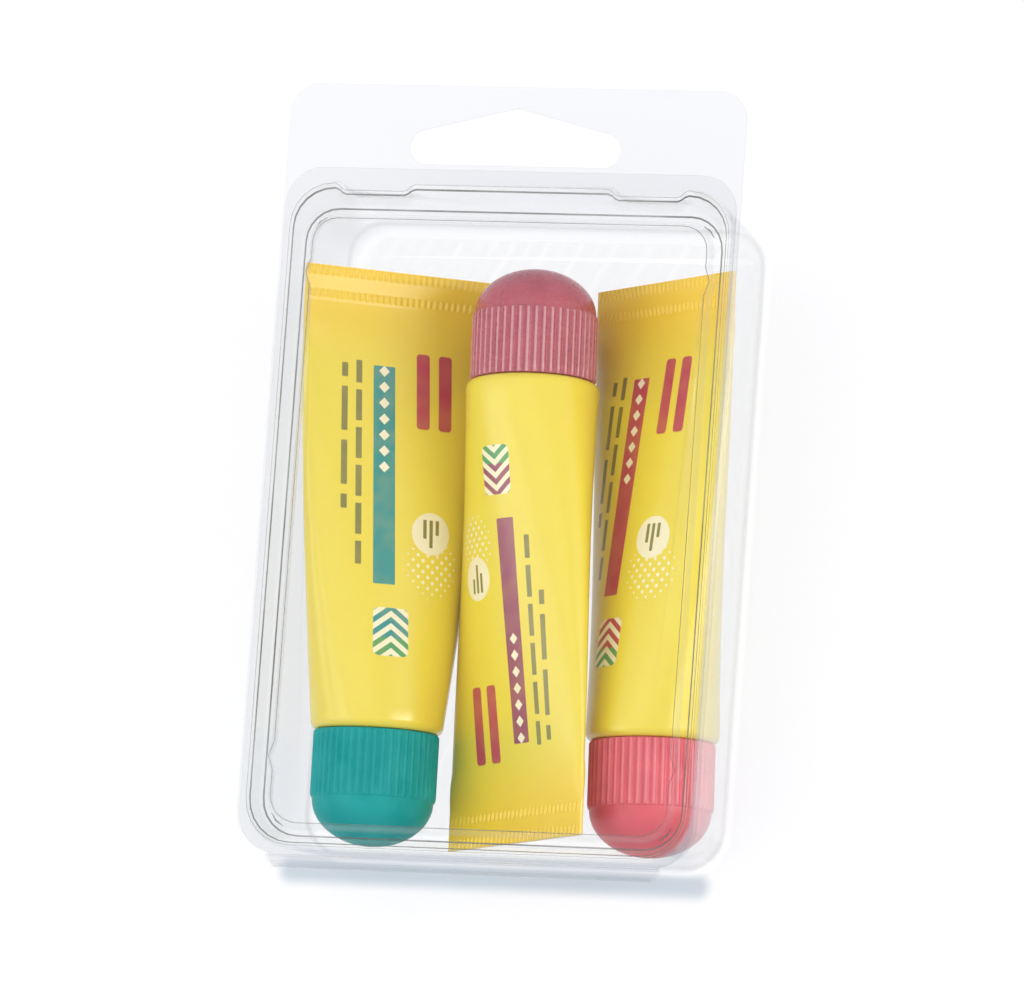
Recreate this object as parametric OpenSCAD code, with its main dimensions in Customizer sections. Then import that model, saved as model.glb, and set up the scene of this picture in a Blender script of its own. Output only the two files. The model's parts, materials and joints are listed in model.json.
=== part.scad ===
// Clear thermoformed clamshell pack holding three squeeze tubes.
// The pack lies on its back: +Z is the front that the lid closes, +Y points to the hang header.
// The hinge fold runs along X at the lower end, and the tray's back rests on z = 0.

/* [Tubes] */
// Outer diameter of the screw caps over their flutes
cap_d = 17; // [15:0.5:18]
// Length of a cap from its rim to the top of its dome
cap_len = 15.4; // [13.5:0.1:18]
// Height of the cap's dome above the fluted skirt
cap_dome_h = 6.2; // [4.5:0.1:7]
// Number of flutes round a cap
cap_flutes = 48; // [30:1:60]
// Depth of the flutes
cap_flute_depth = 0.28; // [0.15:0.01:0.45]
// Wall of the cap at the rim
cap_wall = 1.1; // [0.8:0.1:1.6]
// Length over which the flutes run out in round tips below the dome
flute_tip = 0.9; // [0.5:0.1:1.5]
// How far the tube's round end stands out past its cap
tube_overhang = 0.5; // [0.3:0.05:0.7]
// Radius of the tube's rounded shoulder
shoulder_round = 1.2; // [0.8:0.1:1.5]
// Length of a tube from its shoulder to the end of its crimp
tube_len = 62.6; // [56:0.5:72]
// Length of the flat crimped end
crimp_len = 5; // [3.5:0.25:7]
// Thickness of the crimped end between its teeth
crimp_t = 0.7; // [0.5:0.05:1]
// Height of the outer row of crimp teeth
crimp_outer_row = 1.4; // [1:0.1:1.8]
// Height of the inner row of crimp teeth
crimp_inner_row = 1.1; // [0.8:0.1:1.5]
// Spacing of the crimp teeth
crimp_pitch = 0.87; // [0.7:0.01:1.3]
// How far the crimp teeth stand out of the flat
crimp_tooth = 0.12; // [0.05:0.01:0.2]
// Radius of the threaded neck inside the cap
neck_r = 4.4; // [3.5:0.1:5]
// Length of the neck below the shoulder
neck_len = 8; // [6:0.25:9]
// Height of the conical shoulder
shoulder_h = 1.6; // [1:0.1:2.2]
// Radial running gap between the neck and the cap
thread_gap = 0.08; // [0.05:0.01:0.1]
// Clearance between the tube's conical shoulder and the cap's inside
seat_gap = 0.3; // [0.2:0.05:0.5]
// Gap between the tube's shoulder and the cap's rim
rim_gap = 0.15; // [0.1:0.05:0.4]

/* [Tube places] */
// Turn of the left tube's flat end about its axis
left_roll = 39; // [36:1:42]
// Turn of the middle tube's flat end about its axis
middle_roll = 35; // [33:1:37]
// Turn of the right tube's flat end about its axis
right_roll = -34; // [-37:1:-31]
// Height of the left crimp's lower edge above the tray floor
left_lift = 1.95; // [1.5:0.05:2.8]
// Height of the middle crimp's lower edge above the tray floor
middle_lift = 4.2; // [3.6:0.1:5]
// Height of the right crimp's lower edge above the tray floor
right_lift = 1.8; // [1:0.1:3]
// Height of the middle tube's round end above the tray floor, where it lies on the left tube
middle_cap_lift = 2.25; // [2:0.05:2.8]
// Gap between the outer caps and the tray's floor
floor_gap = 0.35; // [0.25:0.05:0.6]
// Gap between the right tube and the tray's right wall
side_gap = 0.2; // [0.15:0.05:0.6]
// Gap between the left tube and the tray's left wall
left_gap = 3.1; // [2.5:0.1:3.3]
// Sideways space that the middle tube has between the outer tubes
tube_spacing = 2.65; // [2.4:0.05:5]
// Gap between the caps of the outer tubes and the tray's hinge end
cap_end_gap = 1.18; // [0.8:0.02:4]
// Free space between the outer tubes' crimps and the tray's upper end
crimp_end_gap = 9.12; // [8:0.02:14]
// Gap between the middle tube's crimp and the tray's hinge end
middle_end_gap = 2.05; // [1:0.1:3]
// Sideways place of the middle cap from the pack's centre line
middle_x = 1; // [0.8:0.1:1.5]
// Sideways place of the middle crimp from the pack's centre line
middle_crimp_x = 3.5; // [3.3:0.1:4]
// Sideways shift of the left crimp from its cap's axis
left_crimp_shift = -0.6; // [-1:0.1:-0.4]
// Sideways shift of the right crimp from its cap's axis
right_crimp_shift = -2.5; // [-2.9:0.1:-2]
// Free height between the highest crimp and the lid's channel
stack_gap = 0.82; // [0.4:0.02:3]

/* [Sheet] */
// Thickness of the formed plastic sheet
sheet_t = 0.3; // [0.25:0.05:0.4]
// Draft of the tray walls in degrees
draft = 3.4; // [2:0.2:5]
// Radius round the tray's back
floor_fillet = 1.8; // [1:0.1:3]
// Radius of the small bends in the lid
lid_bend = 0.35; // [0.2:0.05:0.5]
// Space between the tray flange and the lid flange
flange_gap = 0.1; // [0.05:0.05:0.2]

/* [Tray] */
// Width of the tray flange outside the mouth on each side
flange_side = 1.15; // [0.8:0.05:3]
// Width of the header above the mouth
header_h = 13.54; // [12:0.5:25]
// Bevel where the tray's mouth bends into the flange
mouth_bend = 0.2; // [0.1:0.05:0.25]
// Corner radius of the header
header_r = 4; // [2:0.5:6]
// Corner radius of the flange at the hinge end
flange_r = 6; // [4:0.5:8]
// Corner radius of the tray's mouth at the top
mouth_r = 6; // [5:0.1:8]
// Corner radius of the tray's mouth at the hinge end
mouth_low_r = 6.5; // [5:0.1:8]
// Overall width of the hang slot
slot_w = 29.5; // [24:0.5:32]
// Radius of the round lobes at the slot's ends
slot_lobe_r = 2.35; // [2.1:0.05:2.8]
// Height of the slot's peak above its straight lower edge
slot_peak = 7.8; // [6:0.1:8.5]
// Radius of the slot's rounded peak
slot_peak_r = 1; // [0.5:0.1:2]
// Height of the slot's lower edge above the tray's mouth
slot_above_mouth = 2.75; // [2.6:0.05:4]

/* [Lid] */
// Gap between the lid's plug and the tray's mouth
plug_gap = 0.5; // [0.45:0.05:0.7]
// Depth of the channel round the lid below its flange
channel_d = 2.8; // [2:0.1:3.5]
// Slope of the channel's outer wall, measured inward
channel_slope = 0.85; // [0.6:0.05:1.2]
// Extra slope of that wall at the top, where the lid swings out
channel_top_slope = 1.5; // [1:0.1:2]
// Width of the channel floor
channel_w = 1.35; // [1.2:0.05:2]
// Slope of the wall that rises to the raised panel
panel_slope = 0.2; // [0.1:0.05:0.4]
// How far the raised panel lies below the lid's flange
panel_drop = 0.8; // [0.6:0.1:1.2]
// How far the lid's flange stays inside the tray's flange at the sides
lid_inset = 0.45; // [0.3:0.05:0.8]
// Width of the lid's flange above the plug
lid_flange_top = 2.5; // [2.2:0.1:3]
// Corner radius of the lid's flange at the top
lid_flange_r = 5; // [4:0.5:7]

/* [Snaps] */
// Distance of the top snap notches from the centre line
notch_x = 19.1; // [17:0.1:19.2]
// Length of a notch's straight stretch
notch_len = 8.1; // [6:0.1:9]
// Length of the ramps at a notch's ends in the lid
notch_ramp = 1.6; // [1.2:0.1:1.6]
// Length of the ramps at a notch's ends in the tray
tray_notch_ramp = 1.1; // [0.8:0.1:1.4]
// Depth of the lid's notches
notch_d = 0.95; // [0.8:0.05:1.2]
// Clearance left between the two sheets at the notches, where they snap
snap_gap = 0.1; // [0.08:0.02:0.2]
// Full-depth height of the tray's notches below the flange
notch_h = 4; // [3.5:0.1:5]
// Height over which the tray's notches run out into the wall
notch_fade = 3; // [2:0.1:4]
// Length of the side detents
detent_len = 3.8; // [3:0.1:5]
// How far the side detents bulge outward
detent_d = 0.65; // [0.4:0.05:0.7]
// Distance of the side detents from the plug's ends
detent_end = 11.7; // [10:0.1:14]

/* [Hinge] */
// Length of the hinge bead
hinge_len = 54.5; // [46:0.5:56]
// Radius of the hinge bead
bead_r = 1; // [0.8:0.05:1.2]
// Slanted cut at the ends of the bead
bead_cut = 1.6; // [1:0.1:2]
// Width of the flange between the bead and the mouth
hinge_flange = 0.84; // [0.7:0.02:2]
// Space at the fold line between the two halves of the bead
fold_gap = 0.05; // [0.04:0.01:0.1]

/* [Hidden] */
$fn = 64;

clear_plastic = [0.86, 0.9, 0.96, 0.35];
tube_yellow = [0.93, 0.8, 0.25];
cap_teal = [0.12, 0.6, 0.59];
cap_plum = [0.62, 0.24, 0.35];
cap_coral = [0.86, 0.35, 0.41];

// Segments in each rounded corner, ramp and tube section
corner_steps = 6;
ramp_steps = 3;
detent_steps = 4;
fillet_steps = 4;
tube_points = 44;
tube_rings = 12;
flute_points = 4;
shoulder_steps = 3;
// Exponent that keeps a flattening tube's perimeter constant
flatten_power = 1.6;
// Length by which cuts and joined solids run past each other
past = 0.5;
lap = 0.05;

// Tube sizes
cap_r = cap_d / 2;
tube_r = cap_r + tube_overhang;
crimp_half = tube_r * PI / 2;
crimp_thick = crimp_t + 2 * crimp_tooth;
total_len = tube_len + cap_len;

// Heights of the tube ends above the back of the tray
left_crimp_z = sheet_t + left_lift + crimp_half * sin(abs(left_roll));
middle_crimp_z = sheet_t + middle_lift + crimp_half * sin(abs(middle_roll));
right_crimp_z = sheet_t + right_lift + crimp_half * sin(abs(right_roll));
// A tilted cap rests on the end of its skirt, and a level one on its rim
floor_cap_z = sheet_t + floor_gap + tube_r;
skirt_share = (cap_len - cap_dome_h) / tube_len;
function rest_z(crimp_z) = max(floor_cap_z, (floor_cap_z + skirt_share * crimp_z) / (1 + skirt_share));
left_cap_z = rest_z(left_crimp_z);
right_cap_z = rest_z(right_crimp_z);
middle_cap_z = sheet_t + middle_cap_lift + tube_r;

// The tray's depth follows the highest crimp edge, with the lid's channel above it
stack_top = left_crimp_z + crimp_half * sin(abs(left_roll)) + crimp_thick / 2;
tray_d = stack_top + stack_gap + sheet_t + channel_d;

// The mouth follows the three caps and the tubes' length
draft_at_cap = (tray_d - floor_cap_z) * tan(draft);
mouth_w = 6 * tube_r + left_gap + tube_spacing + side_gap + 2 * draft_at_cap;
mouth_hw = mouth_w / 2;
mouth_h = total_len + cap_end_gap + crimp_end_gap + 2 * draft_at_cap;
mouth_low = 2 * bead_r + hinge_flange;
mouth_top = mouth_low + mouth_h;
flange_w = mouth_w + 2 * flange_side;
pack_h = mouth_top + header_h;
fold_y = -pack_h / 2;

// The lid's plug
plug_hw = mouth_hw - plug_gap;
plug_low = mouth_low + plug_gap;
plug_top = mouth_top - plug_gap;
plug_r = mouth_r - plug_gap;
plug_low_r = mouth_low_r - plug_gap;
lid_z = tray_d + flange_gap;
panel_inset = channel_slope + channel_w;
// Share by which corner radii shrink with each millimetre of inset
corner_shrink = 0.77;

// Axis points: where each tube's shoulder sits, and where its crimp ends
cap_low_y = fold_y + mouth_low + draft_at_cap + cap_end_gap;
left_x = -(mouth_hw - draft_at_cap - left_gap - tube_r);
right_x = mouth_hw - draft_at_cap - side_gap - tube_r;
shoulder_low = cap_low_y + cap_len;
middle_shoulder = fold_y + mouth_low + draft_at_cap + middle_end_gap + tube_len;

left_pose = [left_x, shoulder_low, left_cap_z, left_crimp_shift, left_crimp_z, left_roll, 0];
middle_pose = [middle_x, middle_shoulder, middle_cap_z, middle_crimp_x - middle_x, middle_crimp_z,
               middle_roll, 180];
right_pose = [right_x, shoulder_low, right_cap_z, right_crimp_shift, right_crimp_z, right_roll, 0];

function clamp01(v) = min(1, max(0, v));
function ease(v) = (1 - cos(180 * clamp01(v))) / 2;
function unit(v) = v / norm(v);

// Half-width of a flattened tube of constant perimeter, from its half-thickness
function flat_half(b) = tube_r * (1 + (PI / 2 - 1) * (1 - pow(b / tube_r, flatten_power)));

// A closed outline in the XY plane: corners, side detents and top notches, always with the
// same number of points, so that any two of them can be joined by a wall.
function corner(cx, cy, r, start) =
    [for (i = [0:corner_steps])
        let (a = start + 90 * i / corner_steps)
        [cx + r * cos(a), cy + r * sin(a)]];

function detent(side, x, cy, bulge) =
    [for (i = [0:detent_steps])
        let (u = 2 * i / detent_steps - 1)
        [side * (x + bulge * (1 - abs(u))), cy + side * u * detent_len / 2]];

// A notch keeps clear of the corner beside it, which ends at the given reach
function notch(side, y, depth, ramp, reach) =
    let (
        far = notch_x + notch_len / 2 + ramp,
        k = min(1, (reach - lap) / far),
        half = [for (i = [0:ramp_steps])
            let (u = i / ramp_steps)
            [notch_len / 2 + ramp * (1 - u), depth * ease(u)]],
        right = [for (p = half) [side * notch_x + p[0], y - p[1]]],
        left = [for (i = [ramp_steps:-1:0]) [side * notch_x - half[i][0], y - half[i][1]]])
    [for (p = concat(right, left)) [p[0] * k, p[1]]];

function outline(hw, low, top, r_low, r_top, depth, ramp, bulge) =
    let (
        y0 = fold_y + low,
        y1 = fold_y + top,
        d0 = fold_y + plug_low + detent_end,
        d1 = fold_y + plug_top - detent_end)
    concat(
        corner(hw - r_low, y0 + r_low, r_low, -90),
        detent(1, hw, d0, bulge),
        detent(1, hw, d1, bulge),
        corner(hw - r_top, y1 - r_top, r_top, 0),
        notch(1, y1, depth, ramp, hw - r_top),
        notch(-1, y1, depth, ramp, hw - r_top),
        corner(-hw + r_top, y1 - r_top, r_top, 90),
        detent(-1, hw, d1, bulge),
        detent(-1, hw, d0, bulge),
        corner(-hw + r_low, y0 + r_low, r_low, 180));

function at_height(points, z) = [for (p = points) [p[0], p[1], z]];

// A solid through a list of rings that all have the same number of points. The rings run
// downward, each one counter-clockwise as seen from above, or upward with flip set.
module loft(rings, flip = false) {
    n = len(rings[0]);
    m = len(rings);
    walls = [for (k = [0:m - 2], i = [0:n - 1])
        let (j = (i + 1) % n)
        each [[k * n + i, k * n + j, (k + 1) * n + j], [k * n + i, (k + 1) * n + j, (k + 1) * n + i]]];
    first = [for (i = [0:n - 1]) n - 1 - i];
    last = [for (i = [0:n - 1]) (m - 1) * n + i];
    faces = concat(walls, [first, last]);
    turned = [for (f = faces) [for (i = [len(f) - 1:-1:0]) f[i]]];
    polyhedron(points = [for (r = rings) each r], faces = flip ? turned : faces, convexity = 8);
}

// Rings of the tray's cavity, or of its outer skin when grown by the sheet's thickness
function tray_ring(z, inset, grow) =
    let (
        depth = (notch_d + plug_gap - sheet_t - snap_gap) * (1 - ease((tray_d - z - notch_h) / notch_fade)),
        shrink = inset * (inset > 0 ? corner_shrink : 1))
    at_height(
        outline(mouth_hw - inset + grow, mouth_low + inset - grow, mouth_top - inset + grow,
                mouth_low_r - shrink + grow, mouth_r - shrink + grow, depth, tray_notch_ramp, 0),
        z);

function wall_inset(z) = (tray_d - z) * tan(draft);

function tray_rings(grow, mouth) =
    let (
        z_low = sheet_t - grow,
        r = floor_fillet + grow,
        z_bend = z_low + r * (1 - sin(draft)),
        heights = [tray_d - notch_h, tray_d - notch_h - notch_fade / 3,
                   tray_d - notch_h - notch_fade * 2 / 3, tray_d - notch_h - notch_fade, z_bend])
    concat(
        mouth,
        [for (z = heights) tray_ring(z, wall_inset(z), grow)],
        [for (i = [1:fillet_steps])
            let (a = draft + (90 - draft) * i / fillet_steps)
            tray_ring(z_low + r * (1 - sin(a)), wall_inset(z_bend) + r * (cos(draft) - cos(a)), grow)]);

module header_outline() {
    y0 = fold_y + 2 * bead_r - sheet_t / 2;
    y1 = fold_y + pack_h;
    hull() {
        for (s = [-1, 1]) {
            translate([s * (flange_w / 2 - flange_r), y0 + flange_r])
                circle(r = flange_r);
            translate([s * (flange_w / 2 - header_r), y1 - header_r])
                circle(r = header_r);
        }
    }
}

// The hang slot: a straight lower edge, round lobes and two slopes that meet in a rounded peak
module hang_slot_outline() {
    y0 = fold_y + mouth_top + slot_above_mouth;
    for (s = [-1, 1]) {
        hull() {
            translate([s * (slot_w / 2 - slot_lobe_r), y0 + slot_lobe_r])
                circle(r = slot_lobe_r);
            translate([0, y0 + slot_peak - slot_peak_r])
                circle(r = slot_peak_r);
            translate([-slot_peak_r, y0])
                square([2 * slot_peak_r, slot_peak_r]);
        }
    }
}

// One half of the folded hinge bead. Its outermost line is the fold.
module hinge_bead(side) {
    difference() {
        rotate([90, 0, 90])
            linear_extrude(hinge_len, center = true)
                intersection() {
                    translate([fold_y + bead_r, 0])
                        difference() {
                            circle(r = bead_r);
                            circle(r = bead_r - sheet_t);
                        }
                    translate([fold_y - past, side > 0 ? fold_gap : -bead_r - past])
                        square([2 * bead_r + 2 * past, bead_r + past - (side > 0 ? fold_gap : 0)]);
                }
        hinge_end_cuts();
    }
}

module hinge_end_cuts() {
    for (s = [-1, 1])
        translate([s * hinge_len / 2, fold_y, 0])
            rotate([0, 0, 45])
                cube([bead_cut, bead_cut, 4 * bead_r], center = true);
}

module rear_tray() {
    color(clear_plastic)
        difference() {
            union() {
                translate([0, 0, tray_d - sheet_t])
                    linear_extrude(sheet_t)
                        header_outline();
                loft(tray_rings(sheet_t, [tray_ring(tray_d - sheet_t / 2, 0, sheet_t)]));
                translate([0, 0, tray_d])
                    hinge_bead(-1);
            }
            loft(tray_rings(0, [
                tray_ring(tray_d + past, -mouth_bend - past, 0),
                tray_ring(tray_d - mouth_bend, 0, 0)]));
            translate([0, 0, tray_d - sheet_t - past])
                linear_extrude(sheet_t + 2 * past)
                    hang_slot_outline();
        }
}

// The lid's section from its plug line inward, as sharp corners of [inset, height]
lid_section = [
    [-lid_bend * 2, 0],
    [0, 0],
    [channel_slope, -channel_d],
    [panel_inset, -channel_d],
    [panel_inset + panel_slope, -panel_drop],
    [panel_inset + panel_slope + lid_bend * 2, -panel_drop]];

// The same section moved by the sheet's thickness to its back, with mitred corners
function left_normal(a, b) = let (d = unit(b - a)) [-d[1], d[0]];
function shifted(path, t) =
    [for (i = [0:len(path) - 1])
        let (
            n0 = left_normal(path[max(0, i - 1)], path[max(1, i)]),
            n1 = left_normal(path[min(i, len(path) - 2)], path[min(i + 1, len(path) - 1)]))
        path[i] + t * (n0 + n1) / (1 + n0 * n1)];

// A path whose inner corners are cut to small bends
function bent(path, r) =
    concat(
        [path[0]],
        [for (i = [1:len(path) - 2])
            let (
                p = path[i],
                a = p + unit(path[i - 1] - p) * r,
                b = p + unit(path[i + 1] - p) * r)
            each [a, b]],
        [path[len(path) - 1]]);

function lid_ring(inset, fall, z) =
    let (
        on_panel = inset > channel_slope + channel_w / 2 ? 1 : 0,
        down = max(on_panel, clamp01(fall / channel_d)),
        shrink = inset * (inset > 0 ? corner_shrink : 1))
    at_height(
        outline(plug_hw - inset, plug_low + inset, plug_top - inset - channel_top_slope * down,
                plug_low_r - shrink, plug_r - shrink,
                notch_d * (1 - down), notch_ramp, detent_d * on_panel),
        z);

function lid_edge(z) =
    at_height(
        outline(flange_w / 2 - lid_inset, 2 * bead_r - sheet_t / 2, plug_top + lid_flange_top,
                flange_r - lid_inset, lid_flange_r, 0, notch_ramp, 0),
        z);

module front_lid() {
    front = bent(lid_section, lid_bend);
    back = bent(shifted(lid_section, -sheet_t), lid_bend);
    rings = concat(
        [for (i = [len(back) - 1:-1:0])
            lid_ring(back[i][0], -sheet_t - back[i][1], lid_z + sheet_t + back[i][1])],
        [lid_edge(lid_z)],
        [lid_edge(lid_z + sheet_t)],
        [for (p = front) lid_ring(p[0], -p[1], lid_z + sheet_t + p[1])]);
    color(clear_plastic)
        union() {
            loft(rings, flip = true);
            translate([0, 0, tray_d])
                hinge_bead(1);
        }
}

// A tube in its own frame: the axis is Z, the shoulder at z = 0 and the crimp upward
function tube_section(z, a, b) =
    [for (i = [0:tube_points - 1])
        let (t = 360 * i / tube_points)
        [a * cos(t), b * sin(t), z]];

module crimp_row(height) {
    teeth = floor(2 * crimp_half / crimp_pitch);
    span = teeth * crimp_pitch;
    side = [for (i = [0:2 * teeth])
        [-span / 2 + i * crimp_pitch / 2, crimp_t / 2 + (i % 2) * crimp_tooth]];
    other = [for (i = [2 * teeth:-1:0]) [side[i][0], -side[i][1]]];
    linear_extrude(height)
        polygon(concat(side, other));
}

module tube() {
    loft_len = tube_len - crimp_len;
    round_rings = [for (i = [0:shoulder_steps - 1])
        let (
            a = 90 * i / shoulder_steps,
            r = tube_r - shoulder_round * (1 - sin(a)))
        tube_section(shoulder_round * (1 - cos(a)), r, r)];
    flat_rings = [for (i = [0:tube_rings])
        let (
            s = i / tube_rings,
            b = tube_r + (crimp_t / 2 - tube_r) * s)
        tube_section(shoulder_round + (loft_len - shoulder_round) * s, flat_half(b), b)];
    rings = concat(round_rings, flat_rings);
    union() {
        loft(rings, flip = true);
        translate([-crimp_half, -crimp_t / 2, loft_len - lap])
            cube([2 * crimp_half, crimp_t, crimp_len + lap]);
        translate([0, 0, tube_len - crimp_outer_row])
            crimp_row(crimp_outer_row);
        translate([0, 0, loft_len + crimp_inner_row / 2])
            crimp_row(crimp_inner_row);
        translate([0, 0, -shoulder_h])
            cylinder(h = shoulder_h + lap, r1 = neck_r, r2 = cap_r - cap_wall - seat_gap);
        translate([0, 0, -neck_len])
            cylinder(h = neck_len, r = neck_r);
    }
}

// A cap in the same frame: its rim just below the shoulder, its dome downward
module cap_flutes_outline() {
    count = cap_flutes * flute_points;
    polygon([for (i = [0:count - 1])
        let (
            a = 360 * i / count,
            r = cap_r - cap_flute_depth * (1 + cos(a * cap_flutes)) / 2)
        [r * cos(a), r * sin(a)]]);
}

// The skirt's envelope: straight to the flutes' tips, then rounded in to the dome
module cap_envelope(skirt_len, base_r) {
    tip_steps = 4;
    rotate_extrude($fn = 96)
        polygon(concat(
            [[0, past], [cap_r + lap, past]],
            [for (i = [0:tip_steps])
                let (a = 90 * i / tip_steps)
                [base_r + (cap_r + lap - base_r) * cos(a), -skirt_len + flute_tip * (1 - sin(a))]],
            [[0, -skirt_len]]));
}

module cap() {
    skirt_len = cap_len - cap_dome_h - rim_gap;
    base_r = cap_r - cap_flute_depth - lap;
    dome_steps = 12;
    difference() {
        translate([0, 0, -rim_gap])
            union() {
                intersection() {
                    translate([0, 0, -skirt_len])
                        linear_extrude(skirt_len)
                            cap_flutes_outline();
                    cap_envelope(skirt_len, base_r);
                }
                translate([0, 0, -skirt_len])
                    rotate_extrude($fn = 96)
                        polygon(concat(
                            [[0, flute_tip], [base_r, flute_tip]],
                            [for (i = [0:dome_steps])
                                let (a = 90 * i / dome_steps)
                                [base_r * cos(a), -cap_dome_h * sin(a)]]));
            }
        translate([0, 0, -neck_len - rim_gap])
            cylinder(h = neck_len + past, r = neck_r + thread_gap);
        translate([0, 0, -shoulder_h - rim_gap])
            cylinder(h = shoulder_h + rim_gap + lap, r1 = neck_r + thread_gap, r2 = cap_r - cap_wall);
    }
}

// Stands a tube or cap at its place. A pose holds the shoulder's point, the crimp's sideways
// shift and height, the roll about the axis and the turn that points the crimp up or down.
module placed(pose) {
    rise = pose[4] - pose[2];
    pitch = asin(rise / tube_len);
    swing = asin(pose[3] / (tube_len * cos(pitch)));
    yaw = pose[6] + (pose[6] > 0 ? swing : -swing);
    translate([pose[0], pose[1], pose[2]])
        rotate([pitch - 90, 0, yaw])
            rotate([0, 0, pose[5]])
                children();
}

module left_tube() {
    color(tube_yellow)
        placed(left_pose)
            tube();
}

module left_cap() {
    color(cap_teal)
        placed(left_pose)
            cap();
}

module middle_tube() {
    color(tube_yellow)
        placed(middle_pose)
            tube();
}

module middle_cap() {
    color(cap_plum)
        placed(middle_pose)
            cap();
}

module right_tube() {
    color(tube_yellow)
        placed(right_pose)
            tube();
}

module right_cap() {
    color(cap_coral)
        placed(right_pose)
            cap();
}

rear_tray();
front_lid();
left_tube();
left_cap();
middle_tube();
middle_cap();
right_tube();
right_cap();
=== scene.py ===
# Clear clamshell pack with three squeeze tubes: looks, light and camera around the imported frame.
import json
import math

import bmesh
import bpy
from mathutils import Matrix, Vector


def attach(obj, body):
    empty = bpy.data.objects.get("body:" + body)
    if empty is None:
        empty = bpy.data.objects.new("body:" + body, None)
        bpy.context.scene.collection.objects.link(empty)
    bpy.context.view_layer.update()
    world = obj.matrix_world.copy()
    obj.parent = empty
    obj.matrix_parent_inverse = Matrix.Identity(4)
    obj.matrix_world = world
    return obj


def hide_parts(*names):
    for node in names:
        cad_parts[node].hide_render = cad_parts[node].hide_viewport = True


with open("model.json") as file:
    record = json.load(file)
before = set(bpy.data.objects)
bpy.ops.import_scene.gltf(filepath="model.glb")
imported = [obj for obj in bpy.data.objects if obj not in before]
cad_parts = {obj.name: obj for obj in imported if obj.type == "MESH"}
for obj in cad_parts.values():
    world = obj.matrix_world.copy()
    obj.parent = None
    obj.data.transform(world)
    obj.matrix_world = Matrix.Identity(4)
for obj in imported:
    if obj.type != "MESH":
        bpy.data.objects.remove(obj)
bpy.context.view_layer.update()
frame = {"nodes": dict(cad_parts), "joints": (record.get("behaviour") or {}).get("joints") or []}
joints = {joint["name"]: joint for joint in frame["joints"]}
mm = 0.001


print("frame loaded")


# Camera: a long lens, right of the pack's middle and a little below it
cameraLook = {
    "target": (3.196, -2.61, 24.45),
    "right": (0.9567, 0.0727, -0.282),
    "up": (-0.0298, 0.9879, 0.1522),
    "distance": 1.5,
    "lens": 395.5,
}


def placeCamera(look):
    right = Vector(look["right"]).normalized()
    back = right.cross(Vector(look["up"])).normalized()
    up = back.cross(right)
    target = Vector(look["target"]) * mm
    bpy.ops.object.camera_add()
    camera = bpy.context.object
    camera.name = "packCamera"
    camera.data.lens = look["lens"]
    camera.data.sensor_width = 36
    turn = Matrix((right, up, back)).transposed().to_4x4()
    camera.matrix_world = Matrix.Translation(target + back * look["distance"]) @ turn
    bpy.context.scene.camera = camera


placeCamera(cameraLook)
bpy.context.scene.view_settings.view_transform = "Standard"
print("camera placed")


# Helpers that lay out shader nodes
def newMaterial(name):
    material = bpy.data.materials.new(name)
    material.use_nodes = True
    tree = material.node_tree
    return material, tree, tree.nodes["Principled BSDF"]


def feed(tree, socket, value):
    if isinstance(value, bpy.types.NodeSocket):
        tree.links.new(value, socket)
    elif isinstance(value, tuple) and socket.type == "RGBA":
        socket.default_value = (*value, 1)
    else:
        socket.default_value = value


def calc(tree, operation, first, second=None):
    node = tree.nodes.new("ShaderNodeMath")
    node.operation = operation
    feed(tree, node.inputs[0], first)
    if second is not None:
        feed(tree, node.inputs[1], second)
    return node.outputs[0]


def ramp(tree, value, start, end, low=0.0, high=1.0):
    node = tree.nodes.new("ShaderNodeMapRange")
    node.interpolation_type = "SMOOTHSTEP"
    for socket, given in zip(node.inputs, (value, start, end, low, high)):
        feed(tree, socket, given)
    return node.outputs["Result"]


def blend(tree, share, first, second):
    node = tree.nodes.new("ShaderNodeMix")
    node.data_type = "RGBA"
    feed(tree, node.inputs[0], share)
    feed(tree, node.inputs[6], first)
    feed(tree, node.inputs[7], second)
    return node.outputs[2]


def noise(tree, vector, scale, detail=2.0):
    node = tree.nodes.new("ShaderNodeTexNoise")
    feed(tree, node.inputs["Vector"], vector)
    node.inputs["Scale"].default_value = scale
    node.inputs["Detail"].default_value = detail
    return node.outputs["Fac"]


def bump(tree, height, distance, strength=1.0):
    node = tree.nodes.new("ShaderNodeBump")
    node.inputs["Distance"].default_value = distance
    node.inputs["Strength"].default_value = strength
    feed(tree, node.inputs["Height"], height)
    return node.outputs["Normal"]


def millimetres(tree):
    coordinates = tree.nodes.new("ShaderNodeTexCoord")
    mapping = tree.nodes.new("ShaderNodeMapping")
    mapping.inputs["Scale"].default_value = (1000, 1000, 1000)
    tree.links.new(coordinates.outputs["Object"], mapping.inputs["Vector"])
    return mapping.outputs["Vector"]


# Clear sheet: nearly nothing face on, a faint grey on its slopes that is painted shade standing in for the darkening
# refraction gives there, and a white mirror where a wall is met edge on
sheetLook = {
    "clear": (0.02, 0.06, 0.16),
    # slope: painted shade, the grey blended in where the sheet is seen aslant
    "slope": (0.42, 0.47, 0.50),
    "mirror": (0.965, 0.978, 1.0),
    "roughness": 0.22,
    "ior": 1.57,
    "leastAlpha": 0.042,
    "slopeRange": (0.13, 0.40, 0.50, 0.62),
    "slopeAlpha": 0.10,
    "wallAlpha": (0.62, 0.86, 0.30),
    "mirrorRange": (0.42, 0.60),
}
# How the frame's two shells are made smooth
shellLook = {
    "mergeDistance": 2e-6,
    "flatAngle": 1.5,
    "creaseAngle": 32,
    "bendSteps": 2,
}
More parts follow.
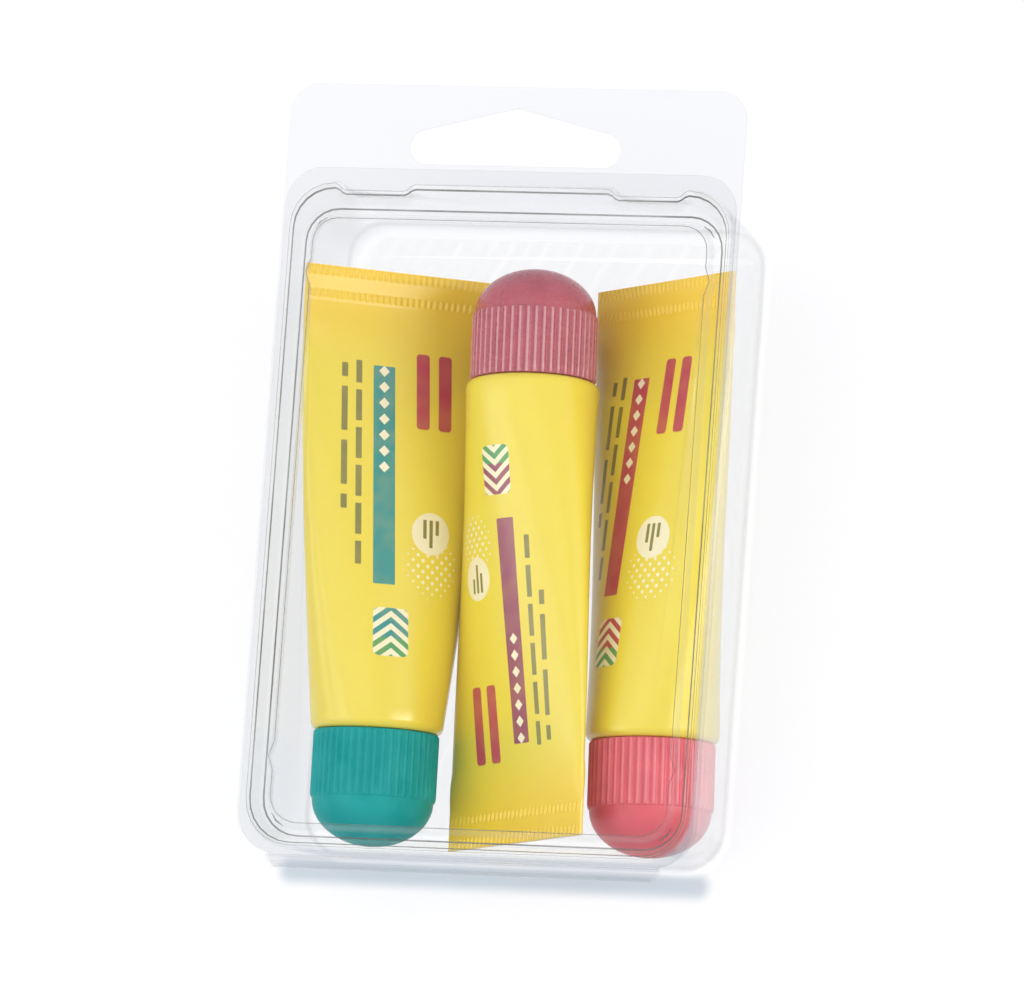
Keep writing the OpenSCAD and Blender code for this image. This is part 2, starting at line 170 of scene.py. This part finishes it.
# Bends that draw a painted dark line: shade that refraction gives at a bend of the clear sheet, painted on a bevelled
# strip.
# Each has its lowest and highest place in mm, its least and most turn in degrees (hollow bends are below zero), its
# half width in mm and its alpha
paintedBendShadeLook = {
    "colour": (0.12, 0.13, 0.125),
    "paleColour": (0.19, 0.20, 0.19),
    "roughness": 0.45,
    "specular": 0.15,
    "leastShare": 0.75,
    "lines": {
        "front_lid": ((24.4, 24.56, 15, 60, 0.14, 0.95), (24.75, 24.95, 15, 60, 0.05, 0.55),
                      (21.95, 22.1, -40, -15, 0.13, 0.9), (23.95, 24.25, 15, 60, 0.07, 0.75),
                      (24.75, 24.95, 75, 100, 0.05, 0.3)),
        "rear_tray": ((24.38, 24.48, 75, 100, 0.05, 0.2),),
    },
}


def makeSheetMaterial(look):
    material, tree, principled = newMaterial("clearSheet")
    layer = tree.nodes.new("ShaderNodeLayerWeight")
    layer.inputs["Blend"].default_value = 0.5
    facing = layer.outputs["Facing"]
    rise, full, drop, gone = look["slopeRange"]
    slope = calc(tree, "MULTIPLY", ramp(tree, facing, rise, full), ramp(tree, facing, gone, drop))
    alpha = calc(tree, "ADD", calc(tree, "MULTIPLY", slope, look["slopeAlpha"]), look["leastAlpha"])
    start, end, most = look["wallAlpha"]
    alpha = calc(tree, "ADD", alpha, ramp(tree, facing, start, end, 0.0, most))
    mirror = ramp(tree, facing, *look["mirrorRange"])
    # Painted shade: the sheet turns grey where it is seen aslant
    paintedSlopeShade = blend(tree, slope, look["clear"], look["slope"])
    feed(tree, principled.inputs["Base Color"], blend(tree, mirror, paintedSlopeShade, look["mirror"]))
    feed(tree, principled.inputs["Metallic"], mirror)
    feed(tree, principled.inputs["Roughness"], look["roughness"])
    feed(tree, principled.inputs["IOR"], look["ior"])
    feed(tree, principled.inputs["Alpha"], alpha)
    return material


# Painted shade: a dark, patchy strip laid on a bend of the clear sheet
def makePaintedBendShadeMaterial(look, number, alpha):
    material, tree, principled = newMaterial("clearSheetPaintedBendShade" + str(number))
    spot = millimetres(tree)
    tone = ramp(tree, noise(tree, spot, 0.12), 0.35, 0.65)
    feed(tree, principled.inputs["Base Color"], blend(tree, tone, look["colour"], look["paleColour"]))
    feed(tree, principled.inputs["Roughness"], look["roughness"])
    feed(tree, principled.inputs["Specular IOR Level"], look["specular"])
    patchy = ramp(tree, noise(tree, spot, 0.07), 0.3, 0.7, alpha * look["leastShare"], alpha)
    feed(tree, principled.inputs["Alpha"], patchy)
    return material


def bevelBends(piece, line, number):
    lowest, highest, least, most, offset, _ = line
    bpy.ops.mesh.select_all(action="DESELECT")
    bpy.ops.mesh.select_mode(type="EDGE")
    form = bmesh.from_edit_mesh(piece.data)
    for edge in form.edges:
        heights = [vertex.co.z / mm for vertex in edge.verts]
        if len(edge.link_faces) == 2 and lowest < min(heights) and max(heights) < highest:
            angle = math.degrees(edge.calc_face_angle_signed(0))
            edge.select_set(least < angle < most)
    bmesh.update_edit_mesh(piece.data)
    bpy.ops.mesh.bevel(offset=offset * mm, segments=shellLook["bendSteps"], material=number, clamp_overlap=False)


def smoothShell(nodeName, pieceName, body):
    piece = frame["nodes"][nodeName].copy()
    piece.data = piece.data.copy()
    piece.name = pieceName
    piece.data.name = pieceName
    bpy.context.scene.collection.objects.link(piece)
    makeActive(piece)
    piece.data.materials.clear()
    piece.data.materials.append(sheetMaterial)
    lines = paintedBendShadeLook["lines"][nodeName]
    for number, line in enumerate(lines, 1):
        piece.data.materials.append(makePaintedBendShadeMaterial(paintedBendShadeLook, number, line[5]))
    bpy.ops.object.mode_set(mode="EDIT")
    bpy.ops.mesh.select_all(action="SELECT")
    bpy.ops.mesh.remove_doubles(threshold=shellLook["mergeDistance"])
    bpy.ops.mesh.normals_make_consistent(inside=False)
    bpy.ops.mesh.dissolve_limited(angle_limit=math.radians(shellLook["flatAngle"]))
    for number, line in enumerate(lines, 1):
        bevelBends(piece, line, number)
    bpy.ops.object.mode_set(mode="OBJECT")
    bpy.ops.object.shade_smooth_by_angle(angle=math.radians(shellLook["creaseAngle"]))
    print(pieceName, "faces", len(piece.data.polygons), "bends",
          sum(face.material_index > 0 for face in piece.data.polygons))
    finishPiece(piece, body, None, nodeName)


def makeActive(piece):
    bpy.ops.object.select_all(action="DESELECT")
    piece.select_set(True)
    bpy.context.view_layer.objects.active = piece


def finishPiece(piece, body, material, nodeName):
    if material:
        piece.data.materials.clear()
        piece.data.materials.append(material)
    piece.parent = None
    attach(piece, body)
    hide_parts(nodeName)


sheetMaterial = makeSheetMaterial(sheetLook)
smoothShell("rear_tray", "trayShell", "pack")
smoothShell("front_lid", "lidShell", "lid")
print("tray and lid made smooth")


# Where a tube and its cap stand: the joint's point and axis, and the roll about that axis
def tubePlace(jointName, roll):
    joint = joints[jointName]
    axis = -Vector(joint["axis"]).normalized()
    lean = math.asin(axis.z) - math.pi / 2
    heading = math.atan2(-axis.x, axis.y)
    turn = Matrix.Rotation(heading, 4, "Z") @ Matrix.Rotation(lean, 4, "X")
    return Matrix.Translation(joint["pos_m"]) @ turn @ Matrix.Rotation(math.radians(roll), 4, "Z")


# A closed form drawn as a stack of rings. shape(ring, step) gives the point of each step round each ring
def ringStack(name, steps, rings, shape):
    rise = 1 * mm
    bpy.ops.object.select_all(action="DESELECT")
    bpy.ops.mesh.primitive_circle_add(vertices=steps, radius=5 * mm, fill_type="NGON")
    piece = bpy.context.object
    piece.name = name
    piece.data.name = name
    bpy.ops.object.mode_set(mode="EDIT")
    bpy.ops.mesh.select_all(action="SELECT")
    for _ in range(rings - 1):
        bpy.ops.mesh.extrude_region_move(TRANSFORM_OT_translate={"value": (0, 0, rise)})
    form = bmesh.from_edit_mesh(piece.data)
    places = form.verts.layers.int.new("place")
    for vertex in form.verts:
        ring = round(vertex.co.z / rise)
        turn = 0.25 - math.atan2(vertex.co.y, vertex.co.x) / (2 * math.pi)
        step = round(turn * steps) % steps
        vertex[places] = ring * steps + step
        vertex.co = shape(ring, step)
    bmesh.update_edit_mesh(piece.data)
    return piece, form, places


# Squeeze tube: round at the shoulder, flattened to a crimp whose two rows of teeth hold it shut
tubeLook = {
    "radius": 9.0,
    "length": 62.6,
    "crimp": 5.0,
    "crimpHalf": 0.35,
    "rows": ((58.15, 59.25), (61.2, 62.5)),
    "rowFade": 0.14,
    "toothPitch": 0.87,
    "toothHeight": 0.075,
    "flattenPower": 1.6,
    "shoulderRound": 1.2,
    "neck": 4.4,
    "neckLength": 8.0,
    "shoulderDrop": 1.6,
    "steps": 512,
    "loftRings": 30,
    "rolls": {"left": 39, "middle": 35, "right": -34},
}


def evenSection(halfWide, halfThick, squareness, steps):
    fine = 8 * steps
    points = []
    for i in range(fine + 1):
        turn = 2 * math.pi * i / fine
        across = math.copysign(abs(math.sin(turn)) ** (2 / squareness), math.sin(turn))
        through = math.copysign(abs(math.cos(turn)) ** (2 / squareness), math.cos(turn))
        points.append(Vector((halfWide * across, halfThick * through)))
    lengths = [0.0]
    for before, after in zip(points, points[1:]):
        lengths.append(lengths[-1] + (after - before).length)
    section = []
    spot = 0
    for step in range(steps):
        goal = lengths[-1] * step / steps
        while lengths[spot + 1] < goal:
            spot += 1
        share = (goal - lengths[spot]) / max(lengths[spot + 1] - lengths[spot], 1e-9)
        section.append(points[spot].lerp(points[spot + 1], share))
    return section


def tubeSections(look):
    radius = look["radius"]
    loft = look["length"] - look["crimp"]
    shoulder = look["shoulderRound"]
    neckEnd, neck = -look["neckLength"], look["neck"]
    sections = []
    for high, wide in ((neckEnd, 1.1), (neckEnd, 1.3), (neckEnd, neck - 0.3), (neckEnd + 0.3, neck),
                       (-look["shoulderDrop"], neck), (-0.12, 6.85), (0.0, 7.2)):
        sections.append((high, evenSection(wide, wide, 2, look["steps"])))
    for i in range(9):
        turn = math.pi / 2 * i / 8
        wide = radius - shoulder * (1 - math.sin(turn))
        sections.append((shoulder * (1 - math.cos(turn)), evenSection(wide, wide, 2, look["steps"])))
    for i in range(1, look["loftRings"] + 1):
        share = i / look["loftRings"]
        high = shoulder + (loft - shoulder) * share
        thick = radius + (look["crimpHalf"] - radius) * share
        wide = radius * (1 + (math.pi / 2 - 1) * (1 - (thick / radius) ** look["flattenPower"]))
        square = 2 + 1.2 * share ** 3 + 6 * max(0, share - 0.9) / 0.1
        sections.append((high, evenSection(wide, thick, square, look["steps"])))
    flat = evenSection(radius * math.pi / 2, look["crimpHalf"], 9, look["steps"])
    fade = look["rowFade"]
    heights = [loft + 0.25]
    for low, high in look["rows"]:
        heights += [low - fade, low, low + fade, (low + high) / 2, high - fade, high]
        if high + fade < look["length"]:
            heights.append(high + fade)
    heights.append(look["length"])
    for high in heights:
        sections.append((high, flat))
    return sections


def toothed(look, high, point):
    for low, top in look["rows"]:
        if low < high < top:
            wave = math.cos(2 * math.pi * point.x / look["toothPitch"])
            inside = abs(point.x) < look["radius"] * math.pi / 2 - 0.5
            return look["toothHeight"] * wave if inside else 0.0
    return 0.0


def makeTube(side, look, sections, material):
    place = tubePlace(side + "_cap_turn", look["rolls"][side])

    def shape(ring, step):
        high, section = sections[ring]
        point = section[step]
        raised = toothed(look, high, point)
        return place @ (Vector((point.x, point.y + raised, high)) * mm)

    piece, form, places = ringStack(side + "TubeBody", look["steps"], len(sections), shape)
    wrap = form.loops.layers.uv.new("wrap")
    girth = 2 * math.pi * look["radius"]
    for face in form.faces:
        steps = [loop.vert[places] % look["steps"] for loop in face.loops]
        overBack = len(steps) == 4 and max(steps) - min(steps) > 2
        for loop, step in zip(face.loops, steps):
            ring = loop.vert[places] // look["steps"]
            across = girth * (0.5 - (step or (look["steps"] if overBack else 0)) / look["steps"])
            loop[wrap].uv = (across / 100, sections[ring][0] / 100)
    bpy.ops.mesh.select_all(action="SELECT")
    bpy.ops.mesh.normals_make_consistent(inside=False)
    bpy.ops.object.mode_set(mode="OBJECT")
    bpy.ops.object.shade_smooth_by_angle(angle=math.radians(38))
    finishPiece(piece, "pack", material, side + "_tube")


# Marks for the tubes' print. Each takes millimetres across and along the tube and gives a mask
def newMarks(name, sizes, results):
    group = bpy.data.node_groups.new(name, "ShaderNodeTree")
    for label in ("Across", "Along", *sizes):
        socket = group.interface.new_socket(name=label, in_out="INPUT", socket_type="NodeSocketFloat")
        socket.default_value = sizes[label] if label in sizes else 0.0
    for label in results:
        group.interface.new_socket(name=label, in_out="OUTPUT", socket_type="NodeSocketFloat")
    given = group.nodes.new("NodeGroupInput").outputs
    result = group.nodes.new("NodeGroupOutput").inputs
    return group, given, result


def hypotenuse(tree, first, second):
    squares = calc(tree, "ADD", calc(tree, "MULTIPLY", first, first), calc(tree, "MULTIPLY", second, second))
    return calc(tree, "SQRT", squares)


def makeBarMarks():
    group, given, result = newMarks(
        "roundedBar", {"Half Width": 1.0, "Half Length": 4.0, "Corner": 0.3}, ["Mask"])
    past = []
    for place, half in (("Across", "Half Width"), ("Along", "Half Length")):
        inner = calc(group, "SUBTRACT", given[half], given["Corner"])
        past.append(calc(group, "MAXIMUM", calc(group, "SUBTRACT", calc(group, "ABSOLUTE", given[place]), inner), 0.0))
    reach = calc(group, "SUBTRACT", hypotenuse(group, *past), given["Corner"])
    group.links.new(ramp(group, reach, 0.05, -0.05), result["Mask"])
    return group


def makeDiscMarks():
    group, given, result = newMarks("roundDisc", {"Radius": 3.0}, ["Disc"])
    reach = hypotenuse(group, given["Across"], given["Along"])
    group.links.new(ramp(group, calc(group, "SUBTRACT", reach, given["Radius"]), 0.05, -0.05), result["Disc"])
    return group


def makeDotMarks():
    group, given, result = newMarks("staggeredDots", {"Pitch": 1.2, "Dot": 0.3}, ["Mask"])
    offsets = []
    for operation in ("ADD", "SUBTRACT"):
        side = calc(group, "DIVIDE", calc(group, operation, given["Across"], given["Along"]), given["Pitch"])
        centred = calc(group, "SUBTRACT", calc(group, "FRACT", side), 0.5)
        offsets.append(calc(group, "MULTIPLY", centred, given["Pitch"]))
    reach = calc(group, "SUBTRACT", hypotenuse(group, *offsets), given["Dot"])
    group.links.new(ramp(group, reach, 0.05, -0.05), result["Mask"])
    return group


marks = {"bar": makeBarMarks(), "disc": makeDiscMarks(), "dots": makeDotMarks()}


def mark(tree, kind, across, along, **sizes):
    node = tree.nodes.new("ShaderNodeGroup")
    node.node_tree = marks[kind]
    feed(tree, node.inputs["Across"], across)
    feed(tree, node.inputs["Along"], along)
    for label, size in sizes.items():
        feed(tree, node.inputs[label], size)
    return node.outputs


# Print: a long band with diamonds, a disc with lines, a patch of chevrons, bars, dashes and a field of dots.
# Places and sizes are millimetres across the tube and along it from the shoulder
printLook = {
    "yellow": (0.85, 0.69, 0.045),
    # crimp colour and range: painted shade, a deeper orange toward the crimp end
    "crimpShadeYellow": (0.95, 0.63, 0.012),
    "crimpShadeRange": (48.0, 61.0),
    "cream": (0.93, 0.87, 0.62),
    "olive": (0.22, 0.20, 0.03),
    "berry": (0.50, 0.05, 0.07),
    "leaf": (0.06, 0.33, 0.09),
    "band": (-2.6, 34.5, 1.55, 15.0),
    "roundel": (4.3, 27.0, 2.9),
    "patch": (-1.6, 13.0, 2.5, 3.3),
    "bars": ((3.0, 46.5), (6.2, 46.5)),
    "barHalf": (0.95, 5.2),
    "dashHalf": 0.42,
    "dashGap": (0.16, 0.2),
    "dashes": ((-6.2, 36.0, 14.0, 2.6), (-8.2, 39.5, 10.0, 3.7)),
    "dotField": (4.6, 22.5, 5.4),
    "dotPitch": 1.5,
    "dotSizes": (0.36, 0.02),
    "diamondPitch": 2.2,
    "diamondEdge": (0.82, 0.72),
    "discLines": ((-0.95, 1.3), (0.0, 1.9), (0.95, 1.0)),
    "discLineHalf": 0.26,
    "chevronSlope": 0.75,
    "chevronPitch": 0.85,
    "varieties": {"left": (0.014, 0.27, 0.25), "middle": (0.30, 0.045, 0.10), "right": (0.50, 0.05, 0.07)},
}


tubeFinish = {
    "warmTone": (0.80, 0.55, 0.05),
    "warmShare": 0.10,
    "roughness": 0.36,
    "coat": 0.6,
    "coatIor": 1.55,
    "coatRoughness": 0.24,
    "dentDepth": 0.00025,
    "dentStrength": 0.6,
}


def shifted(tree, across, along, centre):
    return calc(tree, "SUBTRACT", across, centre[0]), calc(tree, "SUBTRACT", along, centre[1])


def makeTubeMaterial(side, look, finish):
    material, tree, principled = newMaterial(side + "TubePrint")
    wrapped = tree.nodes.new("ShaderNodeUVMap")
    wrapped.uv_map = "wrap"
    mapping = tree.nodes.new("ShaderNodeMapping")
    mapping.inputs["Scale"].default_value = (100, 100, 100)
    tree.links.new(wrapped.outputs["UV"], mapping.inputs["Vector"])
    split = tree.nodes.new("ShaderNodeSeparateXYZ")
    tree.links.new(mapping.outputs["Vector"], split.inputs["Vector"])
    across, along = split.outputs["X"], split.outputs["Y"]
    variety = look["varieties"][side]
    # Painted shade: a deeper orange toward the crimp end, standing in for the dim, interreflected tone of the
    # flattened end
    colour = blend(tree, ramp(tree, along, *look["crimpShadeRange"]), look["yellow"], look["crimpShadeYellow"])

    x, y, reach = look["dotField"]
    offset = shifted(tree, across, along, (x, y))
    fade = ramp(tree, hypotenuse(tree, *offset), reach * 0.45, reach, *look["dotSizes"])
    dots = mark(tree, "dots", *offset, Pitch=look["dotPitch"], Dot=fade)["Mask"]
    inField = ramp(tree, hypotenuse(tree, *offset), reach, reach - 0.1)
    colour = blend(tree, calc(tree, "MULTIPLY", dots, inField), colour, look["cream"])

    for x, y, half, pitch in look["dashes"]:
        offset = shifted(tree, across, along, (x, y))
        size = {"Half Width": look["dashHalf"], "Half Length": half, "Corner": 0.1}
        line = mark(tree, "bar", *offset, **size)["Mask"]
        wave = calc(tree, "DIVIDE", calc(tree, "PINGPONG", offset[1], pitch), pitch)
        dashes = calc(tree, "MULTIPLY", line, ramp(tree, wave, *look["dashGap"]))
        colour = blend(tree, dashes, colour, look["olive"])

    x, y, halfWide, halfLong = look["band"]
    offset = shifted(tree, across, along, (x, y))
    band = mark(tree, "bar", *offset, **{"Half Width": halfWide, "Half Length": halfLong, "Corner": 0.2})["Mask"]
    colour = blend(tree, band, colour, variety)
    pitch = look["diamondPitch"]
    step = calc(tree, "SUBTRACT", calc(tree, "FRACT", calc(tree, "DIVIDE", offset[1], pitch)), 0.5)
    far = calc(tree, "ADD", calc(tree, "ABSOLUTE", offset[0]),
               calc(tree, "ABSOLUTE", calc(tree, "MULTIPLY", step, pitch)))
    diamonds = ramp(tree, far, *look["diamondEdge"])
    upper = ramp(tree, offset[1], -0.2, 0.2)
    diamonds = calc(tree, "MULTIPLY", calc(tree, "MULTIPLY", diamonds, upper), band)
    colour = blend(tree, diamonds, colour, look["cream"])

    for place in look["bars"]:
        offset = shifted(tree, across, along, place)
        halfWide, halfLong = look["barHalf"]
        bar = mark(tree, "bar", *offset, **{"Half Width": halfWide, "Half Length": halfLong, "Corner": 0.5})
        colour = blend(tree, bar["Mask"], colour, look["berry"])

    x, y, radius = look["roundel"]
    roundel = mark(tree, "disc", *shifted(tree, across, along, (x, y)), Radius=radius)
    colour = blend(tree, roundel["Disc"], colour, look["cream"])
    longest = max(half for _, half in look["discLines"])
    for sideways, half in look["discLines"]:
        offset = shifted(tree, across, along, (x + sideways, y + longest - half))
        size = {"Half Width": look["discLineHalf"], "Half Length": half, "Corner": 0.12}
        line = mark(tree, "bar", *offset, **size)["Mask"]
        colour = blend(tree, line, colour, look["olive"])

    x, y, halfWide, halfLong = look["patch"]
    offset = shifted(tree, across, along, (x, y))
    patch = mark(tree, "bar", *offset, **{"Half Width": halfWide, "Half Length": halfLong, "Corner": 0.9})["Mask"]
    colour = blend(tree, patch, colour, look["cream"])
    slope = calc(tree, "MULTIPLY", calc(tree, "ABSOLUTE", offset[0]), look["chevronSlope"])
    level = calc(tree, "ADD", calc(tree, "ADD", offset[1], slope), 40.0)
    pitch = look["chevronPitch"]
    wave = calc(tree, "DIVIDE", calc(tree, "PINGPONG", level, pitch), pitch)
    chevrons = calc(tree, "MULTIPLY", patch, ramp(tree, wave, 0.44, 0.56))
    green = ramp(tree, offset[1], -0.7, -0.9)
    colour = blend(tree, chevrons, colour, blend(tree, green, variety, look["leaf"]))

    tone = ramp(tree, noise(tree, millimetres(tree), 0.35), 0.35, 0.7)
    shade = blend(tree, calc(tree, "MULTIPLY", tone, finish["warmShare"]), colour, finish["warmTone"])
    feed(tree, principled.inputs["Base Color"], shade)
    feed(tree, principled.inputs["Roughness"], finish["roughness"])
    feed(tree, principled.inputs["Coat Weight"], finish["coat"])
    feed(tree, principled.inputs["Coat IOR"], finish["coatIor"])
    feed(tree, principled.inputs["Coat Roughness"], finish["coatRoughness"])
    dents = noise(tree, millimetres(tree), 0.22, 1.0)
    feed(tree, principled.inputs["Normal"], bump(tree, dents, finish["dentDepth"], finish["dentStrength"]))
    return material


sections = tubeSections(tubeLook)
for side in tubeLook["rolls"]:
    makeTube(side, tubeLook, sections, makeTubeMaterial(side, printLook, tubeFinish))
print("tubes drawn")


# Screw cap: fluted skirt whose flutes run out in round tips under a plain dome, bored for the tube's neck
capLook = {
    "radius": 8.5,
    "length": 15.4,
    "dome": 6.2,
    "flutes": 48,
    "fluteDepth": 0.28,
    "domeRadius": 8.2,
    "tipLength": 0.9,
    "bore": 4.48,
    "boreDepth": 8.15,
    "seat": 7.4,
    "seatDepth": 1.6,
    "steps": 768,
    "domeRings": 22,
    "slots": {"left": "cap_teal", "middle": "cap_plum", "right": "cap_coral"},
    "colours": {"left": (0.003, 0.31, 0.30), "middle": (0.42, 0.08, 0.105), "right": (0.68, 0.11, 0.13)},
    # painted highlight: a paler colour on the flute crests, with its most share
    "ridgeHighlights": {"left": ((0.035, 0.42, 0.41), 0.25), "middle": ((0.80, 0.48, 0.53), 0.5),
               "right": ((0.93, 0.36, 0.39), 0.4)},
    "gloss": {"left": (0.11, 0.42), "middle": (0.6, 0.27), "right": (0.35, 0.36)},
}


def capSections(look):
    skirtEnd = look["length"] - look["dome"]
    radius, dome = look["radius"], look["domeRadius"]
    rows = [(look["boreDepth"], 0.6), (look["boreDepth"], look["bore"]),
            (look["seatDepth"] + 0.15, look["bore"]), (0.15, look["seat"]), (0.06, radius - 0.6),
            (0.06, radius - 0.32), (0.13, radius - 0.12), (0.3, radius)]
    for i in range(1, 9):
        rows.append((0.3 + (skirtEnd - look["tipLength"] - 0.3) * i / 8, radius))
    for i in range(1, 11):
        turn = math.pi / 2 * i / 10
        rows.append((skirtEnd - look["tipLength"] * (1 - math.sin(turn)), dome + (radius - dome) * math.cos(turn)))
    for i in range(1, look["domeRings"] + 1):
        turn = math.pi / 2 * i / look["domeRings"]
        rows.append((skirtEnd + look["dome"] * math.sin(turn), max(dome * math.cos(turn), 0.04)))
    return rows


def makeCap(side, look, material):
    place = tubePlace(side + "_cap_turn", tubeLook["rolls"][side])
    rows = capSections(look)

    def shape(ring, step):
        deep, wide = rows[ring]
        turn = 2 * math.pi * step / look["steps"]
        valley = (1 - math.cos(look["flutes"] * turn)) / 2
        reach = min(wide, look["radius"] - look["fluteDepth"] * valley)
        return place @ (Vector((reach * math.sin(turn), reach * math.cos(turn), -deep)) * mm)

    piece, form, places = ringStack(side + "ScrewCap", look["steps"], len(rows), shape)
    flute = form.loops.layers.uv.new("flute")
    for face in form.faces:
        for loop in face.loops:
            turn = 2 * math.pi * (loop.vert[places] % look["steps"]) / look["steps"]
            deep, wide = rows[loop.vert[places] // look["steps"]]
            onSkirt = wide > look["domeRadius"] and deep < look["length"] - look["dome"] - 0.1
            loop[flute].uv = ((1 + math.cos(look["flutes"] * turn)) / 2, 1 if onSkirt else 0)
    bpy.ops.mesh.select_all(action="SELECT")
    bpy.ops.mesh.normals_make_consistent(inside=False)
    bpy.ops.object.mode_set(mode="OBJECT")
    bpy.ops.object.shade_smooth_by_angle(angle=math.radians(50))
    finishPiece(piece, side + "_cap", material, side + "_cap")


def makeCapMaterial(side, look):
    material, tree, principled = newMaterial(side + "CapPlastic")
    spot = millimetres(tree)
    tone = ramp(tree, noise(tree, spot, 0.25), 0.3, 0.7)
    plain = look["colours"][side]
    pale = tuple(min(1.0, part * 1.12 + 0.012) for part in plain)
    wrapped = tree.nodes.new("ShaderNodeUVMap")
    wrapped.uv_map = "flute"
    split = tree.nodes.new("ShaderNodeSeparateXYZ")
    tree.links.new(wrapped.outputs["UV"], split.inputs["Vector"])
    ridgeHighlightColour, most = look["ridgeHighlights"][side]
    # Painted highlight: a paler colour on the crests of the skirt's flutes
    ridgeHighlightShare = calc(tree, "MULTIPLY", ramp(tree, split.outputs["X"], 0.62, 0.97, 0.0, most), split.outputs["Y"])
    feed(tree, principled.inputs["Base Color"], blend(tree, ridgeHighlightShare, blend(tree, tone, plain, pale), ridgeHighlightColour))
    specular, rough = look["gloss"][side]
    patchy = ramp(tree, noise(tree, spot, 1.1), 0.3, 0.7, rough - 0.03, rough + 0.03)
    feed(tree, principled.inputs["Roughness"], patchy)
    feed(tree, principled.inputs["Specular IOR Level"], specular)
    feed(tree, principled.inputs["Normal"], bump(tree, noise(tree, spot, 2.0), 0.000008, 0.3))
    return material


for side in capLook["colours"]:
    makeCap(side, capLook, makeCapMaterial(side, capLook))
print("caps turned")


# Floor, light and surroundings. A zone has its middle, half width, half length, corner and soft edge in mm,
# a lamp its place and size in metres, its watts and its colour
stageLook = {
    "floor": 3.0,
    "floorRoughness": 0.9,
    "floorColour": (0.22, 0.215, 0.21),
    "floorGlow": (0.75, 0.76, 0.79),
    # Painted shadow: a dark bluish bar on the floor along the pack's lower edge
    "paintedContactShadowColour": (0.20, 0.20, 0.20),
    "paintedContactShadowGlow": (0.40, 0.47, 0.54),
    "paintedContactShadow": (-3.0, -50.9, 29.3, 0.7, 0.7, 2.0, -0.3),
    # Painted light: a brighter glow under the pack's footprint that hides the shadow the pack casts there
    "paintedLightPadColour": (0.24, 0.24, 0.24),
    "paintedLightPadGlow": (0.98, 0.987, 1.0),
    "paintedLightPad": (0.0, -5.5, 28.8, 43.1, 5.0, 1.5, -0.7),
    "ambient": 0.88,
    "aim": (0.0, 0.0, 0.012),
    "lamps": {
        "topSoft": ((-0.12, 0.22, 0.75), (0.7, 0.5), 0.7, (1.0, 1.0, 1.0)),
        "rightTall": ((0.56, 0.05, 0.22), (0.08, 0.6), 2.2, (1.0, 0.99, 0.96)),
        "leftFill": ((-0.50, -0.20, 0.40), (0.5, 0.5), 1.8, (1.0, 0.98, 0.95)),
    },
}


def roundedZone(tree, zone):
    x, y, halfWide, halfLong, corner, start, end = zone
    split = tree.nodes.new("ShaderNodeSeparateXYZ")
    tree.links.new(millimetres(tree), split.inputs["Vector"])
    past = []
    for place, centre, half in ((split.outputs["X"], x, halfWide), (split.outputs["Y"], y, halfLong)):
        away = calc(tree, "ABSOLUTE", calc(tree, "SUBTRACT", place, centre))
        past.append(calc(tree, "MAXIMUM", calc(tree, "SUBTRACT", away, half - corner), 0.0))
    return ramp(tree, calc(tree, "SUBTRACT", hypotenuse(tree, *past), corner), start, end)


def addFloor(look):
    bpy.ops.object.select_all(action="DESELECT")
    bpy.ops.mesh.primitive_plane_add(size=look["floor"])
    floor = bpy.context.object
    floor.name = "floor"
    material, tree, principled = newMaterial("paleFloor")
    colour, glow = look["floorColour"], look["floorGlow"]
    # The two zones paint a contact shadow along the pack's lower edge and a patch of light under the pack that hides
    # its shadow there
    for zone in ("paintedContactShadow", "paintedLightPad"):
        inside = roundedZone(tree, look[zone])
        colour = blend(tree, inside, colour, look[zone + "Colour"])
        glow = blend(tree, inside, glow, look[zone + "Glow"])
    feed(tree, principled.inputs["Base Color"], colour)
    feed(tree, principled.inputs["Roughness"], look["floorRoughness"])
    feed(tree, principled.inputs["Specular IOR Level"], 0.0)
    path = tree.nodes.new("ShaderNodeLightPath")
    seen = calc(tree, "MAXIMUM", path.outputs["Is Camera Ray"], path.outputs["Is Glossy Ray"])
    seen = calc(tree, "MAXIMUM", seen, path.outputs["Is Transmission Ray"])
    feed(tree, principled.inputs["Emission Color"], glow)
    feed(tree, principled.inputs["Emission Strength"], seen)
    floor.data.materials.append(material)


def addLamp(name, place, size, watts, colour, target):
    bpy.ops.object.light_add(type="AREA", location=place)
    lamp = bpy.context.object
    lamp.name = name
    lamp.data.shape = "RECTANGLE"
    lamp.data.size, lamp.data.size_y = size
    lamp.data.energy = watts
    lamp.data.color = colour
    aim = Vector(target) - Vector(place)
    lamp.rotation_euler = aim.to_track_quat("-Z", "Y").to_euler()


def lightWorld(look):
    world = bpy.data.worlds.new("whiteRoom")
    bpy.context.scene.world = world
    world.use_nodes = True
    tree = world.node_tree
    background = tree.nodes["Background"]
    path = tree.nodes.new("ShaderNodeLightPath")
    seen = calc(tree, "MAXIMUM", path.outputs["Is Camera Ray"], path.outputs["Is Glossy Ray"])
    seen = calc(tree, "MAXIMUM", seen, path.outputs["Is Transmission Ray"])
    feed(tree, background.inputs["Color"], (1.0, 1.0, 1.0))
    feed(tree, background.inputs["Strength"], ramp(tree, seen, 0.0, 1.0, look["ambient"], 1.0))


addFloor(stageLook)
for name, (place, size, watts, colour) in stageLook["lamps"].items():
    addLamp(name, place, size, watts, colour, stageLook["aim"])
lightWorld(stageLook)
print("light set")
